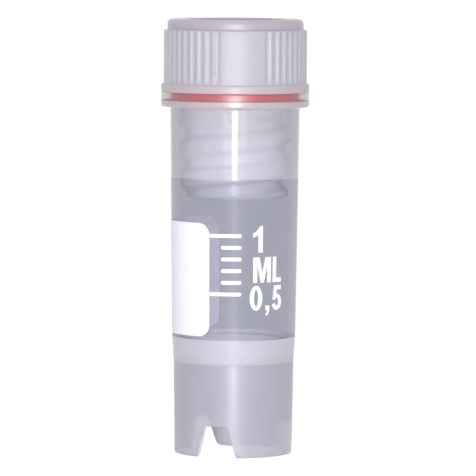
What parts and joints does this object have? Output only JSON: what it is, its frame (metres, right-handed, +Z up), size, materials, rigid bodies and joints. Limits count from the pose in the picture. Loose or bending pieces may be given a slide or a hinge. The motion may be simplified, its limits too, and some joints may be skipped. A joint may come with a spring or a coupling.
{
  "type": "cryogenic vial",
  "caption": "Self-standing sample vial with a cone-bottomed chamber, a notched skirt foot, an internally threaded mouth, a ribbed screw cap with a hollow plug, and a washer seal.",
  "frame": {"origin": "centre of the foot, on the surface that the vial stands on", "axes": "+Z up along the axis of the tube, the printed scale faces -Y"},
  "size_m": [0.0142, 0.0142, 0.042],
  "materials": {
    "vial": "natural polypropylene, moulded, translucent",
    "cap": "natural polypropylene, moulded with a frosted grain, translucent",
    "gasket": "red silicone rubber, moulded"
  },
  "bodies": {
    "vial": {"vial": "vial"},
    "gasket": {"gasket": "gasket"},
    "cap": {"cap": "cap"}
  },
  "joints": [
    {"name": "cap_rise", "type": "slide", "parent": "vial", "child": "gasket", "axis": [0, 0, 1], "range_m": [0, 0.0105]},
    {"name": "cap_turn", "type": "hinge", "parent": "gasket", "child": "cap", "pos_m": [0, 0, 0.03495], "axis": [0, 0, 1], "range_deg": [0, 1260]}
  ],
  "couplings": [
    {"joint": "cap_turn", "follows": "cap_rise", "rad_per_m": 2094.4}
  ]
}
